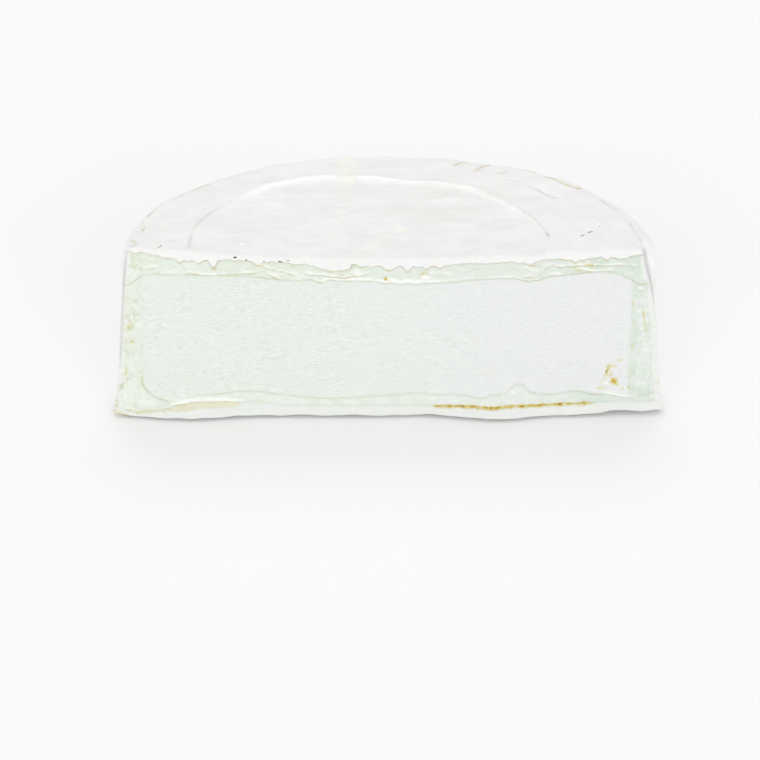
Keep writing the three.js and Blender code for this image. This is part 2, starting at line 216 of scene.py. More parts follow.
# Creases of the cut: the half width of the olive shade painted along each, and its points. All are pressed
# in a little.
CREASES = [
    (0.25, (-94.5, 65), (-89.1, 64.6), (-83.6, 64.4), (-80, 63)),
    (0, (-94.6, 63), (-88, 62.8), (-82, 62.3)),
    (0.65, (-91.9, 15.9), (-91.7, 12.2), (-89.9, 9.3), (-87, 7.6), (-83.6, 6.8)),
    (0.3, (-97.4, 14.5), (-96.4, 15.9), (-94.1, 17.8), (-92.6, 18.3), (-91.5, 16.7)),
    (0, (-91.5, 46), (-91.4, 38), (-91.6, 26)), (0.15, (-94.8, 47.3), (-95.4, 42.9), (-95.6, 39)),
    (0.35, (-90.4, 48.2), (-90.3, 45.8)), (0.1, (-94.4, 39.7), (-92.5, 41), (-90.3, 41.4)),
    (0.3, (-95.3, 30.4), (-94.3, 31.9), (-93.2, 32.1), (-91.5, 28.5)),
    (0.3, (-95.8, 4.9), (-95.3, 5.5), (-94.3, 4.1), (-94.9, 3.2)),
    (0.25, (94.7, 52.1), (96.3, 34.8), (97.3, 22.7), (97.6, 17.3)), (0.2, (92.7, 58.8), (92.9, 54)),
    (0.45, (11.4, 58.1), (12.8, 58.9), (15, 57.8)),
    (0.4, (57.1, 59.6), (58.5, 61.6), (59.9, 61.9), (61.4, 61.1), (63.2, 61.2)),
]
# Small flat drops of paste: rise, x, z and width.
PEARLS = [
    (0.6, 14, 57.4, 2), (0.3, 60.3, 60.6, 1.2), (0.4, -1, 57, 1.3), (0.4, 92.6, 52, 1.4), (0.2, 81, 13.6, 1),
]
PEARL_FLATNESS = 2
# The hollow's span along x: where it starts, is full, begins to fade and ends.
HOLLOW_SPAN = (-86, -79, -60, -46)
HOLLOW_HEIGHT = 2.6
HOLLOW_DEPTH = 0.7
CORE_SPAN = (-91.6, 89.8)  # between the soft bands at the two sides
CUT_DEPTH = 1.6  # how far back from the knife's plane the paste and its marks reach
LEFT_RIND = 1.6
RIGHT_RIND = 2.6

# Ochre and brown mould, then faint olive marks, one of them painted contact shade, then near-black specks,
# on the cut and the lip.
MOULD = [
    (0.4, (81.9, 20.6), (81.6, 19.4), (81.1, 18.2), (80.9, 17)),
    (0.2, (81.9, 20.2), (83.4, 20.6), (84.5, 20.3)),
    (0.15, (80.9, 17), (82.4, 16.7), (83, 17.3), (82.9, 18.1)), (1, (83.6, 14.8), (84.4, 14)),
    (0.1, (85.6, 22.6), (86.7, 23.1)), (0, (89.9, 19), (90.6, 19.4)), (0.1, (89.5, 12.2), (89.8, 11.2)),
    (0.4, (-1.3, 57), (-1, 56.8)), (0.25, (72, 61.7), (74.2, 61.9)), (0.1, (-84, 3.2), (-81.6, 3.9)),
    (-0.05, (-85.9, 2.9), (-84.8, 3)), (0.1, (-94.4, 2), (-92.7, 2)),
    (-0.05, (-100.2, 5.4), (-98.4, 4.4)), (-0.05, (-95.2, 4.8), (-94.4, 3.8)),
    (0.25, (-96.4, 36.5), (-96.2, 35.8)), (0.3, (-95.4, 30.3), (-94.8, 30.6)),
    (0.05, (-97.8, 20.2), (-97.7, 18.6), (-98.1, 16.9)), (-0.1, (-97.3, 15.4), (-97.6, 11.9)),
    (0.05, (93.7, 42.9), (94.5, 38.1), (95.4, 34)), (-0.1, (-101.7, 7), (-102, 2.5)),
    (-0.1, (-93, 18), (-91.9, 17.2)), (-0.05, (-22.4, 60), (-20.4, 60.1)),
    (-0.1, (-26, 55.3), (-24.3, 55.3)),
]
OLIVE_MARKS = [
    (0.2, (80.6, 16.6), (79.5, 14.5), (78.8, 12.9)), (0.3, (77.7, 11.7), (80.7, 12)),
    (0.3, (82.5, 13.6), (85.2, 13), (87.9, 10.6)), (0.2, (85.1, 15.6), (86.5, 16.8)),
    (0.3, (89.7, 16.7), (89.2, 15.5)), (0.25, (89.6, 46.6), (90.2, 44.8)),
    (0.25, (90.3, 39.4), (90.9, 37)), (0.25, (90.3, 30), (90.4, 27.5)),
    (0.25, (67.4, 60.2), (68.8, 59.9), (70.4, 59.5)), (0.2, (-48.2, 61.9), (-45.6, 61.5)),
    (0.1, (57.2, 60), (58, 60.2)), (0.25, (61.3, 61.1), (62.6, 60.9)), (0.2, (52.8, 61.6), (55, 61.3)),
    (0.1, (72.8, 64.7), (74.6, 64.6)), (0.1, (67.5, 62.4), (68.5, 62.2)),
    (0.3, (11.6, 58.5), (12.9, 59), (14.1, 58.6)), (0.1, (-64.8, 55.2), (-64.6, 54.6)),
    # The first mark here runs along the foot's bottom left edge: painted contact shade, tinted olive.
    (0.4, (-102.6, 1.6), (-100, 0.6), (-97.5, 0.4)), (0.25, (-93, 2.2), (-88, 2.9), (-84.5, 3.2)),
]
DARK_SPECKS = [
    (0.42, (-56.4, 65), (-55.7, 65.2)), (0.3, (-52.1, 64.1), (-51.7, 64.1)),
    (0.25, (-45.6, 63.9), (-45.3, 63.8)), (0.3, (-40, 63.8), (-38.4, 63.1)),
    (0.2, (-37.2, 64), (-36.2, 64.1)), (0.25, (81.2, 18.7), (81, 17.8)),
    (0.12, (84.6, 14.5), (84.5, 14.1)),
]

# ---- Mesh density ----

CUT_COLUMNS = 460
WALL_COLUMNS = 380
TOP_RINGS = 130
UNDERSIDE_RINGS = 6
FOOT_STEPS = 5
RIM_STEPS = 7
SIDE_ROWS = [10, 9, 66, 13, 10]
WALL_ROW_SHARES = (0.07, 0.14, 0.84, 0.92)
MIDDLE_SHARE = 0.4
MOST_TRIANGLES = 194_000

# Rounds of smoothing, of the outline and of the change from the cut to the wall.
OUTLINE_ROUNDS = 6
CHANGE_ROUNDS = 12


# ---- Shape functions ----


def ramp(value, start, end):
    """0 before start and 1 after end, with a smooth slope between them."""
    share = np.clip((value - start) / (end - start), 0, 1)
    return share * share * (3 - 2 * share)


def between(value, start, full, fade, end):
    """1 from full to fade, with smooth slopes down to 0 at start and end."""
    return ramp(value, start, full) * (1 - ramp(value, fade, end))


def hill(value, centre, width):
    """A hill of height 1 at the centre."""
    return np.exp(-(((value - centre) / width) ** 2))


def round_hill(x, y, centre_x, centre_y, width):
    return hill(np.hypot(x - centre_x, y - centre_y), 0, width)


def lerp(first, second, share):
    return first + (second - first) * share


def smoothed(values, rounds):
    """A closed row of values, each drawn towards its two neighbours round after round."""
    for _ in range(rounds):
        values = 0.5 * values + 0.25 * (np.roll(values, 1, axis=-1) + np.roll(values, -1, axis=-1))
    return values


def height_along(x, line):
    """A level that hills raise and dips lower along x."""
    level, hills = line
    return level + sum(rise * hill(x, at, width) for at, width, rise in hills)


def distance_to_path(x, y, path):
    """Distance from each place to the nearest point of a chain of straight lengths."""
    nearest = np.full(np.shape(x), np.inf)
    for (x1, y1), (x2, y2) in itertools.pairwise(path):
        along_x = x2 - x1
        along_y = y2 - y1
        share = ((x - x1) * along_x + (y - y1) * along_y) / (along_x**2 + along_y**2)
        share = np.clip(share, 0, 1)
        nearest = np.minimum(nearest, np.hypot(x - x1 - share * along_x, y - y1 - share * along_y))
    return nearest


def path_hill(x, y, path, width):
    return hill(distance_to_path(x, y, path), 0, width)


def reach_into(x, y, strokes):
    """How far inside the nearest stroke each place lies: negative outside all of them."""
    return np.max([half_width - distance_to_path(x, y, path) for half_width, *path in strokes], axis=0)


def gradient_noise(seed):
    """Smooth noise, about -1 to 1, the same on every run."""
    draw = np.random.default_rng(seed)
    order = draw.permutation(256)
    gradients = draw.normal(size=(256, 3))
    gradients = gradients / np.linalg.norm(gradients, axis=1, keepdims=True)

    def gradients_at(cell):
        number = 0
        for axis in range(3):
            number = order[(number + cell[..., axis]) & 255]
        return gradients[number]

    def noise(x, y, z, size):
        """Noise at places in mm, with grains of the given size, or (x, y, z) sizes."""
        size = np.broadcast_to(size, 3)
        place = np.stack(np.broadcast_arrays(x / size[0], y / size[1], z / size[2]), axis=-1)
        cell = np.floor(place).astype(np.int64)
        part = place - cell
        fade = part**3 * (part * (part * 6 - 15) + 10)
        total = np.zeros(place.shape[:-1])
        for corner in itertools.product((0, 1), repeat=3):
            pull = np.sum(gradients_at(cell + corner) * (part - corner), axis=-1)
            total += pull * np.prod(np.where(corner, fade, 1 - fade), axis=-1)
        return 1.6 * total

    return noise


broad_noise = gradient_noise(3)
fine_noise = gradient_noise(11)


# ---- The plain form ----


def wall_radius(z):
    taper = WALL_TAPER * (0.5 - z / WHEEL_HEIGHT)
    return MID_RADIUS + taper + FOOT_FLARE * np.exp(-z / FOOT_FLARE_HEIGHT)


def corner_pinch(x, y, z):
    """How far the cut's upper corners are pressed in at a place."""
    pinched = 0
    for side, depth, reach, lowest in CORNER_PINCHES:
        near_cut = 1 - ramp(y, 0, reach)
        pinched += (side * x > 0) * depth * near_cut * ramp(z, lowest, WHEEL_HEIGHT)
    return pinched


def plain_cut_y(x):
    bow = CUT_BOW * (1 - (x / MID_RADIUS) ** 2)
    return -CUT_OFFSET - np.maximum(bow, -CUT_OFFSET)


def outline(z):
    """Places round the half wheel at the heights z: along the cut, then round the wall."""
    radius = wall_radius(z)
    cut_radius = radius[:, :CUT_COLUMNS]
    cut_share = np.linspace(-1, 1, CUT_COLUMNS)
    cut_x = cut_share * cut_radius
    cut_x = cut_share * (cut_radius - corner_pinch(cut_x, 0, z[:, :CUT_COLUMNS]))

    arc_radius = radius[:, CUT_COLUMNS:]
    start = -np.arcsin(CUT_OFFSET / arc_radius)
    share = np.arange(1, WALL_COLUMNS + 1) / (WALL_COLUMNS + 1)
    angle = start + share * (math.pi - 2 * start)
    arc_radius = arc_radius - corner_pinch(np.cos(angle), arc_radius * np.sin(angle), z[:, CUT_COLUMNS:])

    x = np.concatenate([cut_x, arc_radius * np.cos(angle)], axis=1)
    y = np.concatenate([plain_cut_y(cut_x), arc_radius * np.sin(angle)], axis=1)
    return smoothed(x, OUTLINE_ROUNDS), smoothed(y, OUTLINE_ROUNDS)


def lip_edge(x):
    """Height of the torn lower edge of the rind's lip."""
    edge = height_along(x, LIP_EDGE)
    for at, width, hang in LIP_TEETH:
        edge -= hang * np.maximum(0, 1 - np.abs(x - at) / width)
    step, reach, rise = LIP_STEP
    edge += rise * np.maximum(0, 1 - np.maximum(0, x - step) / reach) * (x > step)
    edge -= 0.9 * np.abs(fine_noise(x, 0, 0.5, 4.5))
    return edge + 0.35 * fine_noise(x, 7, 0.5, 1.3)


def wavering(x, line, layer):
    return height_along(x, line) + 0.25 * fine_noise(x, layer, 0.5, 3)


def cream_ridge(x):
    return wavering(x, CREAM_RIDGE, 3)


def foot_ridge(x):
    return wavering(x, FOOT_RIDGE, 5)


def foot_seam(x):
    return wavering(x, FOOT_SEAM, 9)


def hollow_share(x):
    """1 where the foot's rind has come away on the left and leaves a hollow under the seam."""
    return between(x, *HOLLOW_SPAN)


# ---- Relief of the rind ----


def from_ring(x, y):
    return np.hypot(x - RING_X, y - RING_Y) - RING_RADIUS


def ring_parts(x, y):
    """The pressed ring: the distance from its bank, and the share of each of its parts."""
    angle = np.degrees(np.arctan2(y - RING_Y, x - RING_X))
    angle = np.where(angle < -90, angle + 360, angle)
    offset = from_ring(x, y) + 0.5 * broad_noise(x, y, 20, 18)

    from_groove = offset - 0.8 - 1.4 * (1 - ramp(angle, 132, 150))
    groove = between(angle, *GROOVE_ANGLES) * (0.7 + 0.3 * ramp(angle, 140, 165))
    outer_line = between(angle, *OUTER_LINE_ANGLES) * hill(offset, 8.2, 0.9)
    from_bank = offset - 3 * hill(angle, 118, 18) + 3.5 * hill(angle, 78, 13)
    bank = between(angle, *BANK_ANGLES) * (0.9 + 0.4 * broad_noise(x, y, 70, 9))
    branch = 0.6 * path_hill(x, y, RING_BRANCH, 0.8)
    return {
        "from_bank": from_bank,
        "groove": np.maximum(groove * hill(from_groove, 0, 0.75), branch) + 0.1 * outer_line,
        "bank": bank * hill(from_bank, 0, 2.1),
        "crack": between(angle, *CRACK_ANGLES) * hill(offset, 0.5, 0.4),
        "inner_bank": between(angle, *INNER_BANK_ANGLES) * hill(offset, -2, 1.5),
    }


def ring_relief(x, y):
    ring = ring_parts(x, y)
    rise = -RING_INSIDE_DROP * (1 - ramp(ring["from_bank"], -3, 0.6))
    for part, height in RING_RISES.items():
        rise += height * ring[part]
    return rise


def flowing(noise, x, y, layer, grains):
    """Noise drawn out along wrinkles that follow the rim and sweep across inside the ring."""
    drift = 5 * broad_noise(x, y, 31, 24)
    inside = noise(x + 0.4 * y + drift, y - 0.25 * x + 1.6 * drift, layer, grains)
    outside = noise(np.arctan2(y, x) * RING_RADIUS, np.hypot(x, y) + 0.6 * drift, layer, grains)
    return lerp(inside, outside, ramp(from_ring(x, y), -6, 8))


def crease_lines(x, y):
    """1 along the thin broken creases of the rind."""
    present = ramp(broad_noise(x, y, 60, 16), 0, 0.45)
    return present * hill(flowing(broad_noise, x, y, 25, (26, 7, 1)), 0, 0.08)


def small_forms(x, y):
    """The small folds below 0 and the small swells above it, in mm."""
    return sum(rise * path_hill(x, y, path, width) for rise, width, *path in SMALL_FORMS)


def fold_share(x, y):
    """1 in the long fold by the back right of the rim, which fades to its outer end."""
    return path_hill(x, y, FOLD, 0.8) * (1 - 0.6 * ramp(x, *FOLD_FADE))


def long_wrinkles(x, y):
    return flowing(broad_noise, x, y, 5, (15, 4.6, 1))


def short_wrinkles(x, y):
    return flowing(fine_noise, x, y, 9, (7, 2.1, 1))


def wrinkles(x, y):
    rise = 0.4 * broad_noise(x, y, 0, (17, 12, 1))
    rise += 0.22 * long_wrinkles(x, y)
    rise += 0.05 * short_wrinkles(x, y)
    return rise - 0.12 * crease_lines(x, y) + 0.025 * fine_noise(x, y, 5, 0.9)


def rind_shade(x, y):
    """Painted highlight and shade on the top's felt: up to 1 where it is raised and lit, -1 where it is
    pressed and shaded.
    """
    ring = ring_parts(x, y)
    scraped = ramp(scrape_reach(x, y), -1, 1)
    shade = 1.2 * ring["bank"] * (1 - 0.7 * scraped) + 0.6 * ring["inner_bank"]
    shade = shade - 0.5 * ring["groove"] - 0.5 * ring["crack"] - 0.7 * fold_share(x, y)
    shade += 1.4 * small_forms(x, y)
    for _, *lump in RIM_LUMPS:
        shade += 0.2 * round_hill(x, y, *lump)
    shade += 0.32 * long_wrinkles(x, y)
    shade += 0.13 * short_wrinkles(x, y)
    return shade - 0.12 * crease_lines(x, y) + round_hill(x, y, *WHITE_BUMP)


def top_relief(x, y):
    """Height of the top above or below its plain level."""
    rise = ring_relief(x, y) + wrinkles(x, y) + small_forms(x, y) - FOLD_DEPTH * fold_share(x, y)
    rise -= SAG_DEPTH * hill(x, SAG_X, SAG_HALF_WIDTH) * hill(y, 0, SAG_REACH)
    for height, *lump in RIM_LUMPS:
        rise += height * round_hill(x, y, *lump)
    rise += WHITE_BUMP_RISE * round_hill(x, y, *WHITE_BUMP)
    rise -= (0.1 + 0.05 * fine_noise(x, y, 2, 1.6)) * ramp(scrape_reach(x, y), -0.6, 0.6)
    diagonal = distance_to_path(x, y, DIAGONAL)
    return rise - 0.15 * hill(diagonal, 0, 1.2) + 0.2 * hill(diagonal, 3, 1.5)


def scrape_reach(x, y):
    """How far inside the scraped strip, which runs out in thin lines, a place lies."""
    return reach_into(x, y, SCRAPES) + 0.8 * fine_noise(x, y, 12, (2, 4.5, 1))


def wall_relief(x, y, z):
    """How far the wall swells out, with soft dents and upright wrinkles."""
    around = np.arctan2(y, x) * MID_RADIUS
    lean = around + 0.3 * z + 3 * broad_noise(around, 40, z, 22)
    swell = 1.3 * hill(z, 58, 8) + 0.45 * broad_noise(around, 0, z, (29, 1, 26))
    swell += 0.16 * broad_noise(lean, 9, z, (5.5, 1, 26))
    swell -= 0.12 * np.abs(broad_noise(lean, 14, z, (8, 1, 40)))
    return swell + 0.05 * fine_noise(lean, 9, z, (2, 1, 9))


# ---- Relief of the cut ----


def ridge(drop, rise, tail, edge=0.25):
    """A smeared edge: proud just above its line and fading upward, with nothing below it."""
    return rise * ramp(drop, -edge, edge) * np.exp(-np.maximum(drop, 0) / tail)


def smear_drop(x, z, path):
    """Height above a smear's line, and how much of the smear is left towards its two ends."""
    path_x, path_z = zip(*path)
    drop = z - np.interp(x, path_x, path_z) - 0.2 * fine_noise(x, path_z[0], 0.5, 2.4)
    span = min(3, (path_x[-1] - path_x[0]) / 2)
    return drop, between(x, path_x[0] - 0.3, path_x[0] + span, path_x[-1] - span, path_x[-1] + 0.3)


def side_band(x):
    """1 in the soft bands at the two sides of the cut, 0 over the firm core."""
    left, right = CORE_SPAN
    return 1 - between(x, left - 0.6, left + 1.6, right - 1, right + 0.6)


def torn(x, z):
    """Noise whose zero lines are the edges of small smears: flat ones, and lumps in the side bands."""
    drift = 1.5 * broad_noise(x, 30, z, 9)
    flat = fine_noise(x, 33, z + 0.12 * x + drift, (7, 1, 1.7))
    lumpy = fine_noise(x + drift, 35, z, (2.2, 1, 3.2))
    return lerp(flat, lumpy, side_band(x))


def soft_share(x, z):
    """1 on the soft layer round the firm core, 0 on the core and on the rind."""
    under_lip = 1 - ramp(z - lip_edge(x), -0.5, 0)
    above = ramp(z - cream_ridge(x), -0.2, 0.3) * under_lip
    below = ramp(z - foot_seam(x), 0.2, 1) * (1 - ramp(z - foot_ridge(x), -0.5, 0))
    beside = side_band(x) * ramp(z, 3, 8) * under_lip
    return np.maximum(np.maximum(above, 0.6 * below), beside)


def pearl_hill(x, z, pearl_x, pearl_z, width):
    return round_hill(x, z * PEARL_FLATNESS, pearl_x, pearl_z * PEARL_FLATNESS, width)


def cut_relief(x, z):
    """How far the cut stands proud of the knife's plane."""
    from_lip = z - lip_edge(x)
    from_cream = z - cream_ridge(x)
    from_foot = z - foot_ridge(x)
    from_seam = z - foot_seam(x)
    lip = ramp(from_lip, -0.5, 0.4)

    lumpy = 0.5 * broad_noise(x, 0, z, (6, 1, 4)) + 0.25 * fine_noise(x, 0, z, (2.4, 1, 1.4))
    proud = lip * (LIP_PROUD + lumpy)
    proud -= LIP_DIP_DEPTH * (1 - lip) * ramp(from_lip, -2.6, 0)
    proud += (1 - lip) * ridge(from_cream, CREAM_PROUD, 2.6)
    proud += SOFT_PROUD * (1 - lip) * ramp(from_cream, 0, 1)
    for rise, *path in SMEARS:
        drop, share = smear_drop(x, z, path)
        proud += share * ridge(drop, 1.5 * rise, 1.4, edge=0.2) * (1 - lip)

    foot_line = 1 - between(x, -83.4, -82, -72, -60)
    proud += foot_line * ridge(from_foot, FOOT_RIDGE_PROUD, 2.6)
    proud -= FOOT_DIP_DEPTH * foot_line * between(from_foot, -3, 0, 0, 0.3)
    seam_line = 1 - hollow_share(x)
    proud -= SEAM_DEPTH * seam_line * hill(from_seam, 0, 0.5)
    proud += FOOT_RIND_PROUD * (1 - ramp(from_seam, -1.4, -0.2))
    under_flap = between(from_seam, -HOLLOW_HEIGHT - 0.8, -HOLLOW_HEIGHT, -0.35, 0.25)
    proud -= HOLLOW_DEPTH * hollow_share(x) * under_flap
    proud += hollow_share(x) * ridge(from_seam, FLAP_PROUD, 1.8)

    for _, *path in CREASES:
        proud -= CREASE_DEPTH * path_hill(x, z, path, 0.5)
    for rise, *pearl in PEARLS:
        proud += rise * pearl_hill(x, z, *pearl)
    proud -= MOULD_DEPTH * ramp(reach_into(x, z, MOULD), -0.3, 0.3)

    proud += TORN_PROUD * soft_share(x, z) * (ramp(torn(x, z), -0.15, 0.25) - 0.5)
    band = side_band(x) * (1 - lip) * ramp(z, 2, 10)
    proud += band * (BAND_PROUD + 0.8 * broad_noise(x, 2, z, (4, 1, 5)))
    proud += 0.2 * broad_noise(x, 0, z, (17, 1, 11))
    proud += height_along(x, FOOT_EDGE) * (1 - ramp(z, 0, FOOT_EDGE_HEIGHT))
    core = ramp(from_foot, 0, 2) * (1 - ramp(from_cream, -2, 0)) * (1 - side_band(x))
    proud += 0.09 * core * fine_noise(x, 0, z, (4.5, 1, 1.5))
    proud += 0.15 * (1 - core) * fine_noise(x, 4, z, (3.4, 1, 1.1)) * (1 - lip)
    return proud


def foot_lift(x, y, z):
    """How far the foot is off the floor: its front edge all along, and the curled front right end."""
    behind_cut = y - plain_cut_y(x)
    edge = EDGE_LIFT * (1 + 0.5 * broad_noise(x, 61, 0.5, 9))
    lift = edge * (1 - ramp(behind_cut, *EDGE_LIFT_REACH)) * (1 - ramp(z, 0, EDGE_LIFT_HEIGHT))
    curl = height_along(x, (0, CURLED_LOBES))
    return lift + curl * (1 - ramp(y, *CURL_REACH)) * (1 - ramp(z, 0, CURL_HEIGHT))


# ---- The rings of points ----


def rows_between(anchors, counts):
    """Rows of heights: each span between two anchors is divided into its count of steps."""
    rows = [anchors[0]]
    for (below, above), count in zip(itertools.pairwise(anchors), counts):
        rows.extend(lerp(below, above, step / count) for step in range(1, count + 1))
    return np.array(rows)


def inward_directions(x, y):
    """Unit vectors that point from the outline into the cheese."""
    along_x = np.roll(x, -1) - np.roll(x, 1)
    along_y = np.roll(y, -1) - np.roll(y, 1)
    length = np.hypot(along_x, along_y)
    return -along_y / length, along_x / length


def quarter_round(x, y, z, radius, steps, upward):
    """Rings that round the outline over into the top, or down into the underside."""
    in_x, in_y = inward_directions(x, y)
    rings = []
    for step in range(1, steps + 1):
        angle = math.pi / 2 * step / steps
        inset = radius * (1 - math.cos(angle))
        height = z + upward * radius * math.sin(angle)
        rings.append(np.stack([x + in_x * inset, y + in_y * inset, height], axis=-1))
    return rings


def plain_rings():
    """The half wheel as (ring, column, xyz), with its height already following the top's relief."""
    columns = CUT_COLUMNS + WALL_COLUMNS
    on_cut = np.zeros(columns)
    on_cut[:CUT_COLUMNS] = 1
    on_cut = smoothed(on_cut, CHANGE_ROUNDS)

    top_x, top_y = outline(np.full((1, columns), WHEEL_HEIGHT))
    top_x, top_y = top_x[0], top_y[0]
    top_z = WHEEL_HEIGHT + top_relief(top_x, top_y)
    rim_round = lerp(RIM_ROUND, CUT_EDGE_ROUND, on_cut)
    foot_round = lerp(WALL_FOOT_ROUND, CUT_FOOT_ROUND, on_cut)

    even = [lerp(foot_round, WHEEL_HEIGHT - RIM_ROUND, share) for share in WALL_ROW_SHARES]
    lines = [foot_seam(top_x), foot_ridge(top_x), cream_ridge(top_x), lip_edge(top_x)]
    anchors = [foot_round]
    anchors += [lerp(level, line, on_cut) for level, line in zip(even, lines)]
    anchors.append(top_z - rim_round)
    side_z = rows_between(anchors, SIDE_ROWS)
    side_x, side_y = outline(side_z)
    side = np.stack([side_x, side_y, side_z], axis=-1)

    foot = quarter_round(*side[0].T, foot_round, FOOT_STEPS, -1)[::-1]
    rim = quarter_round(*side[-1].T, rim_round, RIM_STEPS, 1)

    under_middle = np.array([0, FOOT_RADIUS * MIDDLE_SHARE, 0])
    top_middle = np.array([0, FOOT_RADIUS * MIDDLE_SHARE, WHEEL_HEIGHT])
    underside = [lerp(under_middle, foot[0], ring / UNDERSIDE_RINGS) for ring in range(1, UNDERSIDE_RINGS)]
    top = [lerp(rim[-1], top_middle, ring / TOP_RINGS) for ring in range(1, TOP_RINGS)]
    rings = np.concatenate([np.array(underside), np.array(foot), side, np.array(rim), np.array(top)])

    first_top_ring = len(rings) - len(top)
    on_top = rings[first_top_ring:]
    on_top[..., 2] = WHEEL_HEIGHT + top_relief(on_top[..., 0], on_top[..., 1])
    return rings


def shaped_rings():
    """The rings moved by the relief of the cut and the wall."""
    rings = plain_rings()
    x, y, z = (rings[..., axis] for axis in range(3))
    behind_cut = y - plain_cut_y(x)
    near_cut = 1 - ramp(behind_cut, 0.2, 3.2)

    radius = np.hypot(x, y)
    on_wall = ramp(radius, wall_radius(z) - 4, wall_radius(z) - 1) * ramp(z, 0, 4) * ramp(behind_cut, 0, 8)
    swell = on_wall * wall_relief(x, y, z) / radius
    shift_y = -near_cut * cut_relief(x, z)
    return np.stack([x * (1 + swell), y * (1 + swell) + shift_y, z + foot_lift(x, y, z)], axis=-1)


def closed_mesh(name, rings, middles):
    """Joins the rings into one closed mesh, with a fan round each of the two middles."""
    ring_count, column_count = rings.shape[:2]
    points = np.concatenate([rings.reshape(-1, 3), np.array(middles)])
    index = np.arange(ring_count * column_count).reshape(ring_count, column_count)
    after = np.roll(index, -1, axis=1)
    quads = np.stack([index[:-1], after[:-1], after[1:], index[1:]], axis=-1).reshape(-1, 4)
    under_middle, top_middle = len(points) - 2, len(points) - 1
    fans = [(under_middle, b, a) for a, b in zip(index[0], after[0])]
    fans += [(top_middle, a, b) for a, b in zip(index[-1], after[-1])]

    mesh = bpy.data.meshes.new(name)
    mesh.from_pydata(points.tolist(), [], quads.tolist() + fans)
    mesh.validate()
    return mesh


def read_all(items, name, kind=float, width=1):
    """One value, or a row of width values, of each of a mesh's points, faces or corners."""
    values = np.empty(len(items) * width, dtype=kind)
    items.foreach_get(name, values)
    return values.reshape(-1, width) if width > 1 else values


def points_of(mesh):
    """The mesh's points as three arrays: x, y and z."""
    return read_all(mesh.vertices, "co", width=3).T


def add_object(name, data):
    added = bpy.data.objects.new(name, data)
    bpy.context.collection.objects.link(added)
    return added


def thin_out(mesh, may_thin, most_triangles):
    """Collapses edges where the mesh may be thinned, down to the most triangles."""
    carrier = add_object("thinning", mesh)
    thinned_places = carrier.vertex_groups.new(name="may_thin")
    thinned_places.add(np.flatnonzero(may_thin).tolist(), 1, "REPLACE")
    triangles = sum(len(polygon.vertices) - 2 for polygon in mesh.polygons)
    decimate = carrier.modifiers.new("thinning", "DECIMATE")
    decimate.ratio = min(1, most_triangles / triangles)
    decimate.vertex_group = thinned_places.name
    decimate.vertex_group_factor = 0
    shown = bpy.context.evaluated_depsgraph_get()
    thinned = bpy.data.meshes.new_from_object(carrier.evaluated_get(shown))
    bpy.data.objects.remove(carrier)
    return thinned


# ---- Fields: distances in mm and shares from 0 to 1 that the material reads at each point ----

# How far the soft bands at the foot and at the two sides go towards the crests' painted highlight: painted
# light at the foot, paler paste at the sides.
FOOT_BAND_LIGHT = 0.35
LEFT_BAND_WHITE = 0.3
RIGHT_BAND_WHITE = 0.36
# The spot of painted highlight at the cut's lower left corner, and its strength:
CORNER = (-92, 5, 8)  # its x, z and width
CORNER_HIGHLIGHT = 0.08

# The reach of the middle of a faint mark: the paste is only tinted there.
FAINT = -0.2
# The reach where there are no marks.
OFF = -9


def rind_edge(x, z):
    """Half width of the paste at a height: the cut's half width less the rind beside it."""
    thickness = np.where(x > 0, RIGHT_RIND * (1 - 0.6 * ramp(z, 46, 54)), LEFT_RIND)
    return wall_radius(z) - corner_pinch(x, 0, z) - thickness + 0.3 * fine_noise(x > 0, 1, z, 3)


def crease_shade_reach(x, z):
    """How far inside a crease, or the line under a smear, a ridge or the lip, a place lies: the material
    paints olive shade there.
    """
    reaches = [np.minimum(reach_into(x, z, CREASES), 0.25) - 0.1]
    lines = ((lip_edge, 0.38, 0.3), (cream_ridge, 0.4, 0.25), (foot_ridge, 0.2, 0.3))
    for line, half_width, below in lines:
        reaches.append(half_width - np.abs(line(x) - z - below))
    reaches.append(0.35 - np.abs(foot_seam(x) - z - 0.2) - 1.2 * (1 - hollow_share(x)))
    for _, *path in SMEARS:
        drop, share = smear_drop(x, z, path)
        reaches.append(0.38 - np.abs(drop + 0.3) - 0.6 * (1 - share))
    broken = 0.5 * ramp(broad_noise(x, 55, z, (9, 1, 5)), 0.25, -0.25)
    torn_edge = 0.1 + 0.12 * side_band(x) * (x < 0) - 1.5 * np.abs(torn(x, z) + 0.08)
    reaches.append(torn_edge - broken - 0.6 * (1 - soft_share(x, z)))
    return np.max(reaches, axis=0)


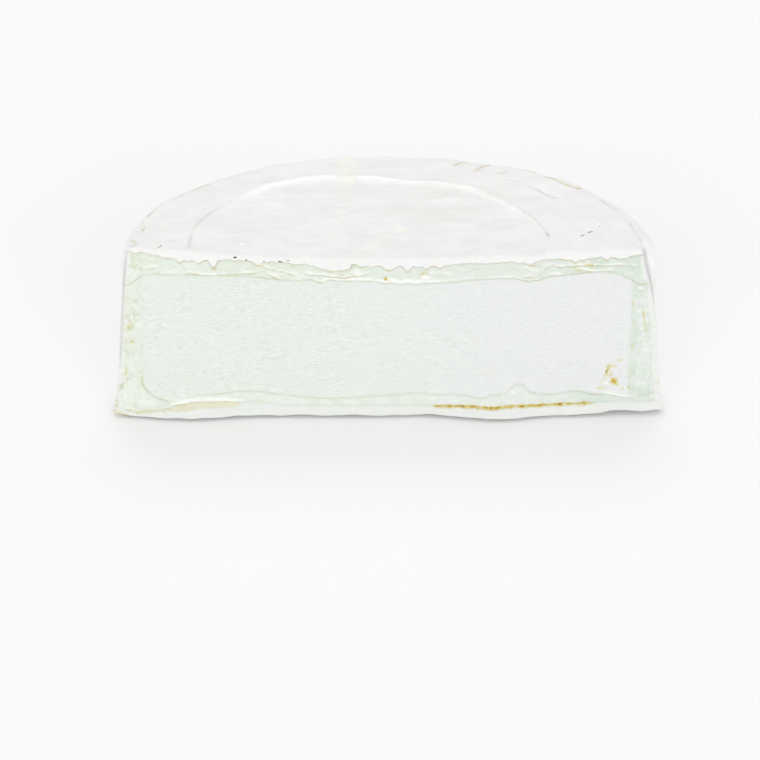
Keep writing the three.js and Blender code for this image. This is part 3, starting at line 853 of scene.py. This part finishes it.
def crest_highlight_share(x, z):
    """How far a place is painted lighter: a painted highlight on the upper edge of a smear, ridge or drop
    and on the foot's band, and paler paste in the side bands.
    """
    blotched = 0.75 + 0.6 * fine_noise(x, 50, z, (5, 1, 2))
    crests = [0.4 * soft_share(x, z) * ramp(torn(x, z), 0.1, 0.35)]
    foot_band = ramp(z - foot_seam(x), 0, 0.6) * (1 - ramp(z - foot_ridge(x), -0.4, 0.2))
    corner = CORNER_HIGHLIGHT * round_hill(x, z, *CORNER)
    crests.append((FOOT_BAND_LIGHT + corner) * foot_band * (1 - ramp(x, 68, 76)))
    beside = side_band(x) * ramp(np.abs(x), 91, 92.5) * ramp(z, 9, 14)
    crests.append(np.where(x > 0, RIGHT_BAND_WHITE, LEFT_BAND_WHITE) * beside)
    lines = (
        (cream_ridge, 0.9 + 0.6 * hill(x, 5, 14), height_along(x, CREAM_CREST)),
        (foot_ridge, 1, 0.35),
        (foot_seam, 1.6, 0.9 * hollow_share(x)),
    )
    for line, tail, most in lines:
        drop = z - line(x)
        crests.append(most * between(drop, -0.1, 0.3, 0.4 * tail, 2 * tail))
    for _, *path in SMEARS:
        drop, share = smear_drop(x, z, path)
        crests.append(1.2 * share * ramp(drop, -0.1, 0.2) * np.exp(-np.maximum(drop, 0) / 0.9))
    crests += [pearl_hill(x, z, *pearl) for _, *pearl in PEARLS]
    return np.clip(np.max(crests, axis=0) * blotched, 0, 1)


def hollow_depth(x, z):
    """How far inside the hollow under the seam each place lies, in mm."""
    below_seam = foot_seam(x) - z
    return np.minimum(below_seam, HOLLOW_HEIGHT * hollow_share(x) - below_seam) - 2 * (1 - hollow_share(x))


def ochre_reach(x, z):
    """How far inside the brown seam or a mark a place lies; a faint mark stays below 0."""
    below_seam = foot_seam(x) - z
    stained = between(x, 12, 18, 74, 81)
    seam = 0.42 * (1 + 0.9 * fine_noise(x, 8, 0.5, 2.6)) - np.abs(below_seam) - 1.2 * (1 - stained)
    mould = np.minimum(reach_into(x, z, MOULD), 0.3)
    faint = np.minimum(1.5 * reach_into(x, z, OLIVE_MARKS), FAINT)
    tips = [0.2 * hang - np.hypot(x - at, z - lip_edge(at)) for at, _, hang in LIP_TEETH]
    return np.max([seam, mould, faint, np.minimum(np.max(tips, axis=0), FAINT)], axis=0)


def top_speck_reach(x, y):
    """How far inside a faint brown speck or the ring's brown crack a place on the top lies."""
    crack = ring_parts(x, y)["crack"] * (1 + 0.4 * fine_noise(x, y, 14, 4)) - 1.15
    return np.minimum(np.maximum(crack, reach_into(x, y, TOP_SPECKS)), FAINT)


def rubbed_share(x, y):
    """How far the top's rind is rubbed beige, on the rim and in soft smudges."""
    ragged = fine_noise(x, y, 3, (2, 2, 1))
    broken = broad_noise(x, y, 80, 6)
    scuffs = ramp(reach_into(x, y, RIM_SCUFFS) + 0.4 * ragged + 0.3 * broken, -0.5, 0.5)
    smudges = 0.1 * ramp(reach_into(x, y, SMUDGES) + 3 * ragged, -4, 3)
    return np.maximum(scuffs, smudges)


def scraped_share(x, y):
    """How far the top's rind is scraped off, in the strip and along the diagonal."""
    strip = 0.8 * ramp(scrape_reach(x, y), -1, 1.2)
    ragged = 1.4 + 2.2 * fine_noise(x, y, 6, 2.8)
    return np.maximum(strip, 0.75 * ramp(ragged - distance_to_path(x, y, DIAGONAL), -1, 1.5))


def side_shadow(x, y, z):
    """Up to 1 in the dent behind the pinched right corner and down the left edge of the cut, where the
    material paints shade.
    """
    behind_cut = y - plain_cut_y(x)
    below_rim = 1 - ramp(z, WHEEL_HEIGHT - 3, WHEEL_HEIGHT - 1.5)
    right = (x > 0) * hill(behind_cut, 3.4, 1.6) * ramp(z, 25, 40)
    edge_line = hill(-x, wall_radius(z) - 0.8, 0.6) * ramp(z, 18, 26)
    left = (x < 0) * (1 - ramp(behind_cut, 2.5, 4)) * edge_line
    return (right + left) * below_rim * ramp(np.abs(x), wall_radius(z) - 7, wall_radius(z) - 5)


def turned_share(x, y, z):
    """1 on the lower wall beside the cut, which turns out of the light, where the material paints shade."""
    behind_cut = y - plain_cut_y(x)
    return between(behind_cut, 1.5, 5, 6, 26) * ramp(np.abs(x), 82, 90) * (1 - ramp(z, 38, 50))


def layer_depths(x, y, z):
    """How deep each place lies inside the paste, and inside its firm core, in mm."""
    behind_cut = y - plain_cut_y(x)
    rind_beside = rind_edge(x, z) - np.abs(x)
    paste = np.min([lip_edge(x) - z, z - foot_seam(x), rind_beside, CUT_DEPTH - behind_cut], axis=0)
    core_beside = np.minimum(x - CORE_SPAN[0], CORE_SPAN[1] - x)
    core = np.min([cream_ridge(x) - z, z - foot_ridge(x), core_beside], axis=0)
    return paste, core


def surface_fields(x, y, z, facing_front):
    """The fields at the points; facing_front is how far each faces along -y, from -1 to 1."""
    z = z - foot_lift(x, y, z)
    behind_cut = y - plain_cut_y(x)
    on_cut = behind_cut < CUT_DEPTH
    on_top = z > WHEEL_HEIGHT - RIM_ROUND - 0.6
    paste_depth, core_depth = layer_depths(x, y, z)
    top_marks = np.where(on_top, top_speck_reach(x, y), OFF)
    top_dark = np.where(on_top, reach_into(x, y, TOP_DARK_SPECKS), OFF)
    above_lip = ramp(z - lip_edge(x), -0.2, 0.4)
    facing_out = ramp(facing_front, 0.3, 0.8)
    return {
        "paste_depth": paste_depth,
        "core_depth": core_depth,
        "crease_shade_reach": np.where(on_cut, crease_shade_reach(x, z), OFF),
        "ochre_reach": np.where(on_cut, ochre_reach(x, z), top_marks),
        "dark_reach": np.where(on_cut, np.maximum(reach_into(x, z, DARK_SPECKS), top_dark), top_dark),
        "hollow": np.where(on_cut, hollow_depth(x, z), OFF),
        "crest_highlight": on_cut * crest_highlight_share(x, z),
        # Painted highlight and shade on the top's relief, and painted shade at the cut's side edges.
        "shade": on_top * rind_shade(x, y) * (1 - facing_out) - side_shadow(x, y, z),
        # The next two: painted shade on the cut's rind where it faces front, to offset the front lamps.
        "lip": on_cut * above_lip * facing_out,
        "front_rind_shade": on_cut * (1 - above_lip) * facing_out,
        "turned": turned_share(x, y, z),
        "rubbed": on_top * rubbed_share(x, y),
        "scraped": on_top * scraped_share(x, y),
    }


def is_plain(x, y, z):
    """Whether a place is smooth enough, in shape and in colour, to hold fewer points."""
    paste_depth, core_depth = layer_depths(x, y, z)
    marked = (reach_into(x, z, MOULD + OLIVE_MARKS + DARK_SPECKS) > -1) & (paste_depth > -2)
    marked_top = reach_into(x, y, RIM_SCUFFS + TOP_DARK_SPECKS) > -1.2
    marked_top &= z > WHEEL_HEIGHT - RIM_ROUND - 1
    in_core_or_rind = (core_depth > 1.2) | (paste_depth < -2)
    return (in_core_or_rind | (z < 0.3)) & ~marked & ~marked_top


# ---- Charts: flat maps of the cut, the top, the wall and the underside, for baking ----

CUT, TOP, WALL, UNDERSIDE = range(4)
# Each chart's corner on the map, and its scale in map widths per mm.
CHARTS = [
    ((0.006, 0.006), 0.0046), ((0.006, 0.351), 0.0046),
    ((0.006, 0.841), 0.0021), ((0.696, 0.841), 0.0014),
]
# How far in from their charts' edges the cut, the top and the wall start, in mm.
CUT_CHART_MARGIN = 4
TOP_CHART_MARGIN = 2
WALL_CHART_MARGIN = 8


def chart_places(x, y, z):
    """Where each place lies on the four charts, in mm from the chart's own corner."""
    behind_cut = y - plain_cut_y(x)
    around = (math.pi - np.arctan2(y, x)) % (2 * math.pi)
    around = np.where(around > math.pi * 1.5, around - 2 * math.pi, around) * MID_RADIUS
    from_above = (x + FOOT_RADIUS, y + CUT_OFFSET + CUT_BOW + TOP_CHART_MARGIN)
    cut = (x + FOOT_RADIUS, z - 0.5 * behind_cut + CUT_CHART_MARGIN)
    return [cut, from_above, (around + WALL_CHART_MARGIN, z), from_above]


def add_chart_map(mesh):
    """Gives each face the chart that it faces most."""
    x, y, z = points_of(mesh)
    corners = read_all(mesh.loops, "vertex_index", np.int32)
    sizes = read_all(mesh.polygons, "loop_total", np.int32)
    normals = read_all(mesh.polygons, "normal", width=3)
    centres = read_all(mesh.polygons, "center", width=3)

    behind_cut = centres[:, 1] - plain_cut_y(centres[:, 0])
    chart = np.full(len(centres), WALL)
    chart[(normals[:, 2] > 0.6) & (centres[:, 2] > WHEEL_HEIGHT - 4)] = TOP
    chart[(normals[:, 2] < -0.6) & (centres[:, 2] < 3)] = UNDERSIDE
    chart[(behind_cut < CUT_DEPTH) & (chart == WALL)] = CUT
    corner_chart = np.repeat(chart, sizes)

    uv = np.empty((len(corners), 2))
    for number, (place, (map_corner, scale)) in enumerate(zip(chart_places(x, y, z), CHARTS)):
        chosen = corner_chart == number
        for axis in range(2):
            uv[chosen, axis] = map_corner[axis] + place[axis][corners[chosen]] * scale
    mesh.uv_layers.new(name="OFBake").data.foreach_set("uv", uv.ravel())


# ---- Material ----


def tone(red, green, blue):
    """A colour of the surface, given as it looks on a screen, 0 to 255."""
    parts = []
    for value in (red, green, blue):
        share = value / 255
        parts.append(share / 12.92 if share <= 0.04045 else ((share + 0.055) / 1.055) ** 2.4)
    return (*parts, 1)


RIND_WHITE = tone(242, 242, 241)
RIND_GREY = tone(237, 237, 236)
RIND_PAINTED_HIGHLIGHT = tone(250, 250, 249)
RIND_PAINTED_SHADE = tone(210, 210, 208)
RIND_LIP_SHADE = tone(232, 232, 231)
RIND_TURNED_SHADE = tone(224, 225, 224)
RIND_RUBBED = tone(216, 205, 176)
RIND_FRONT_SHADE = tone(226, 228, 224)
RIND_SCRAPED = tone(243, 244, 231)
CORE_LEFT = tone(221, 227, 220)
CORE_RIGHT = tone(224, 225, 225)
CORE_PIT = tone(211, 217, 209)
CORE_CRUMB = tone(229, 234, 229)
SOFT_LEFT = tone(218, 225, 212)
SOFT_RIGHT = tone(216, 222, 214)
SOFT_FAR_RIGHT = tone(209, 219, 208)
CREST_HIGHLIGHT = tone(237, 239, 234)
HOLLOW_BEIGE = tone(224, 222, 198)
CREASE_SHADE_OLIVE = tone(196, 191, 146)
OCHRE_PALE = tone(210, 202, 148)
OCHRE = tone(208, 176, 50)
BROWN = tone(136, 94, 18)
SPECK_DARK = tone(60, 56, 40)
RIND_ROUGHNESS = 0.8
PASTE_ROUGHNESS = 0.46
BUMP_HEIGHT = 0.08

# Where the paste's colours change from left to right, in metres.
TO_RIGHT = (-0.07, 0.07)
TO_FAR_RIGHT = (0.058, 0.078)


class Shading:
    """Short names for the shader nodes of one material."""

    def __init__(self, name):
        self.material = bpy.data.materials.new(name)
        self.material.use_nodes = True
        self.tree = self.material.node_tree
        self.place = self.add("ShaderNodeTexCoord", output="Object")

    def put(self, socket, value):
        if isinstance(value, bpy.types.NodeSocket):
            self.tree.links.new(value, socket)
        else:
            socket.default_value = value

    def set_surface(self, values):
        for name, value in values.items():
            self.put(self.tree.nodes["Principled BSDF"].inputs[name], value)

    def add(self, kind, settings=None, inputs=None, output=0):
        node = self.tree.nodes.new(kind)
        for name, value in (settings or {}).items():
            setattr(node, name, value)
        for key, value in (inputs or {}).items():
            self.put(node.inputs[key], value)
        return node.outputs[output]

    def field(self, name):
        return self.add("ShaderNodeAttribute", {"attribute_name": name}, output="Fac")

    def math(self, operation, first, second):
        return self.add("ShaderNodeMath", {"operation": operation}, {0: first, 1: second})

    def times(self, first, second):
        return self.math("MULTIPLY", first, second)

    def blend(self, value, start, end, low=0, high=1):
        """From low to high, on a smooth slope while the value goes from start to end."""
        inputs = {"Value": value, "From Min": start, "From Max": end, "To Min": low, "To Max": high}
        return self.add("ShaderNodeMapRange", {"interpolation_type": "SMOOTHSTEP"}, inputs)

    def mix(self, share, first, second):
        settings = {"data_type": "RGBA", "clamp_factor": True}
        return self.add("ShaderNodeMix", settings, {0: share, 6: first, 7: second}, output=2)

    def noise(self, size, detail=2, stretch=(1, 1, 1)):
        """Noise between 0 and 1, with grains of the given size in mm, stretched along the axes."""
        frequency = tuple(1 / (size * MM * longer) for longer in stretch)
        scaled = self.add("ShaderNodeVectorMath", {"operation": "MULTIPLY"}, {0: self.place, 1: frequency})
        return self.add("ShaderNodeTexNoise", {}, {"Vector": scaled, "Scale": 1, "Detail": detail})


def make_cheese_material():
    shading = Shading("bloomy_rind_cheese")
    blend, mix, noise = shading.blend, shading.mix, shading.noise
    field, times = shading.field, shading.times

    fine = noise(0.9, 3)
    broad = noise(9, 3)
    ragged = shading.math("SUBTRACT", noise(1.3, 3), 0.5)
    streaks = noise(1.1, 3, stretch=(4, 2, 1))
    across = shading.add("ShaderNodeSeparateXYZ", inputs={0: shading.place})

    def wobbled(name, amount):
        return shading.math("ADD", field(name), times(ragged, amount))

    # The rind: white felt, a little grey where it is thin, rubbed beige on the rim.
    rind = mix(blend(broad, 0.35, 0.65), RIND_GREY, RIND_WHITE)
    rind = mix(blend(fine, 0.3, 0.7, 0.25, 0), rind, RIND_GREY)
    # Painted shade on the lower wall beside the cut.
    rind = mix(field("turned"), rind, RIND_TURNED_SHADE)
    # Painted shade on the cut's rind where it faces front, the lip and the rind below it, to offset the
    # front lamps.
    rind = mix(field("lip"), rind, RIND_LIP_SHADE)
    rind = mix(field("front_rind_shade"), rind, RIND_FRONT_SHADE)
    # Painted highlight where the top's rind is raised; painted shade where it is pressed, behind the right
    # corner and down the cut's left edge.
    rind = mix(blend(field("shade"), 0.1, 0.9), rind, RIND_PAINTED_HIGHLIGHT)
    rind = mix(blend(field("shade"), -1, -0.1, 1, 0), rind, RIND_PAINTED_SHADE)
    rind = mix(field("rubbed"), rind, RIND_RUBBED)
    patchy = blend(noise(2, 3, stretch=(1, 2.5, 1)), 0.38, 0.6, 0.45, 0.85)
    rind = mix(times(field("scraped"), patchy), rind, RIND_SCRAPED)

    # The paste: a firm chalky core, greener on the left, in a softer, yellower layer.
    to_right = blend(across, *TO_RIGHT)
    core = mix(to_right, CORE_LEFT, CORE_RIGHT)
    grain = noise(0.6, 2, stretch=(3.5, 1, 1))
    grain_share = times(blend(across, *TO_RIGHT, 0.9, 0.45), blend(broad, 0.35, 0.6, 0.35, 1))
    core = mix(times(blend(grain, 0.5, 0.68), grain_share), core, CORE_PIT)
    core = mix(times(blend(grain, 0.32, 0.5, 1, 0), grain_share), core, CORE_CRUMB)
    soft = mix(to_right, SOFT_LEFT, SOFT_RIGHT)
    soft = mix(blend(across, *TO_FAR_RIGHT), soft, SOFT_FAR_RIGHT)
    soft = mix(blend(noise(5, 2, stretch=(2.5, 1, 1)), 0.4, 0.65, 0, 0.5), soft, core)
    paste = mix(blend(wobbled("core_depth", 1.5), -0.4, 1.4), soft, core)
    paste = mix(blend(streaks, 0.4, 0.75, 0, 0.18), paste, SOFT_RIGHT)
    # Painted highlight on the crests of smears, ridges and drops and on the foot's band; paler paste in the
    # side bands.
    paste = mix(blend(wobbled("crest_highlight", 0.5), 0.1, 0.7), paste, CREST_HIGHLIGHT)

    paste_share = blend(wobbled("paste_depth", 0.5), -0.15, 0.2)
    colour = mix(paste_share, rind, paste)
    patchy = blend(noise(2.5, 2, stretch=(3, 1, 1)), 0.35, 0.6, 0.6, 1)
    colour = mix(times(blend(wobbled("hollow", 0.6), -0.2, 0.4), patchy), colour, HOLLOW_BEIGE)
    # Painted olive shade in the creases and under the lip, the ridges and the smears.
    patchy = blend(noise(3.5, 2), 0.3, 0.62, 0.25, 0.9)
    colour = mix(times(blend(wobbled("crease_shade_reach", 0.35), -0.15, 0.4), patchy), colour, CREASE_SHADE_OLIVE)
    ochre = wobbled("ochre_reach", 1.1)
    colour = mix(blend(ochre, -0.65, 0.15, 0, 0.9), colour, OCHRE_PALE)
    colour = mix(blend(ochre, -0.05, 0.35, 0, 0.9), colour, OCHRE)
    colour = mix(blend(ochre, 0.22, 0.6), colour, BROWN)
    colour = mix(blend(wobbled("dark_reach", 0.3), -0.1, 0.2), colour, SPECK_DARK)

    velvet = shading.math("ADD", noise(0.45, 3), times(noise(2.2, 2), 2.2))
    smear = shading.math("ADD", streaks, times(noise(0.4, 2), 0.4))
    height = shading.add("ShaderNodeMix", {"data_type": "FLOAT"}, {0: paste_share, 2: velvet, 3: smear})
    felt = {"Height": height, "Strength": 0.5, "Distance": BUMP_HEIGHT * MM}
    bump = shading.add("ShaderNodeBump", inputs=felt)

    shading.set_surface({
        "Base Color": colour,
        "Roughness": blend(paste_share, 0, 1, RIND_ROUGHNESS, PASTE_ROUGHNESS),
        "Normal": bump,
        "Specular IOR Level": 0.35,
        "Subsurface Weight": 0.18,
        "Subsurface Radius": (1, 0.7, 0.45),
        "Subsurface Scale": 1.6 * MM,
        "Sheen Weight": 0.06,
        "Sheen Roughness": 0.5,
    })
    return shading.material


def build_cheese():
    rings = shaped_rings()
    under_middle = rings[0].mean(axis=0)
    top_middle = rings[-1].mean(axis=0)
    mesh = closed_mesh("half_wheel_cheese", rings, [under_middle, top_middle])
    mesh = thin_out(mesh, is_plain(*points_of(mesh)), MOST_TRIANGLES)

    add_chart_map(mesh)
    x, y, z = points_of(mesh)
    facing_front = -read_all(mesh.vertices, "normal", width=3)[:, 1]
    for name, values in surface_fields(x, y, z, facing_front).items():
        mesh.attributes.new(name, "FLOAT", "POINT").data.foreach_set("value", values)
    mesh.vertices.foreach_set("co", (np.stack([x, y + AXIS_Y, z], axis=-1) * MM).ravel())
    mesh.shade_smooth()
    mesh.materials.clear()
    mesh.materials.append(make_cheese_material())

    cheese = add_object("half_wheel_cheese", mesh)
    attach(cheese, "root")
    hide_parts("half_wheel")


# ---- Stage, light and camera ----

CAMERA_DISTANCE = 1000
CAMERA_PITCH = math.radians(24.58)
AIM_X = -3.23
AIM_Z = 13.25
CAMERA_FOCAL_PIXELS = 2672.4
PHOTO_WIDTH = 760

FLOOR_HALF_SIZE = 6
FLOOR_WHITE = 0.965
SKY_STRENGTH = 0.8
# Each softbox's name, azimuth, elevation, strength and spread.
SOFTBOXES = [
    ("left_softbox", -20, 18, 0.5, 26),
    ("right_softbox", 20, 18, 0.5, 26),
    ("back_softbox", 180, 50, 0.4, 40),
]


def make_camera():
    aim = Vector((AIM_X, AXIS_Y, AIM_Z)) * MM
    forward = Vector((0, math.cos(CAMERA_PITCH), -math.sin(CAMERA_PITCH)))
    data = bpy.data.cameras.new("camera")
    data.sensor_width = 36
    data.lens = CAMERA_FOCAL_PIXELS / PHOTO_WIDTH * data.sensor_width
    camera = add_object("camera", data)
    camera.location = aim - forward * CAMERA_DISTANCE * MM
    camera.rotation_euler = (math.pi / 2 - CAMERA_PITCH, 0, 0)
    bpy.context.scene.camera = camera


def make_floor():
    mesh = bpy.data.meshes.new("floor")
    half = FLOOR_HALF_SIZE
    corners = [(-half, -half, 0), (half, -half, 0), (half, half, 0), (-half, half, 0)]
    mesh.from_pydata(corners, [], [(0, 1, 2, 3)])
    shading = Shading("floor")
    white = (FLOOR_WHITE, FLOOR_WHITE, FLOOR_WHITE, 1)
    shading.set_surface({"Base Color": white, "Roughness": 1, "Specular IOR Level": 0})
    mesh.materials.append(shading.material)
    add_object("floor", mesh)


def make_lights():
    world = bpy.data.worlds.new("studio")
    bpy.context.scene.world = world
    world.use_nodes = True
    background = world.node_tree.nodes["Background"]
    background.inputs["Color"].default_value = (1, 1, 1, 1)
    background.inputs["Strength"].default_value = SKY_STRENGTH

    for name, azimuth, elevation, strength, spread in SOFTBOXES:
        data = bpy.data.lights.new(name, "SUN")
        data.energy = strength
        data.angle = math.radians(spread)
        light = add_object(name, data)
        turn, tilt = math.radians(azimuth), math.radians(elevation)
        level = math.cos(tilt)
        from_light = Vector((-math.sin(turn) * level, math.cos(turn) * level, -math.sin(tilt)))
        light.rotation_euler = from_light.to_track_quat("-Z", "Y").to_euler()


build_cheese()
make_floor()
make_lights()
make_camera()
bpy.context.scene.view_settings.view_transform = "Standard"
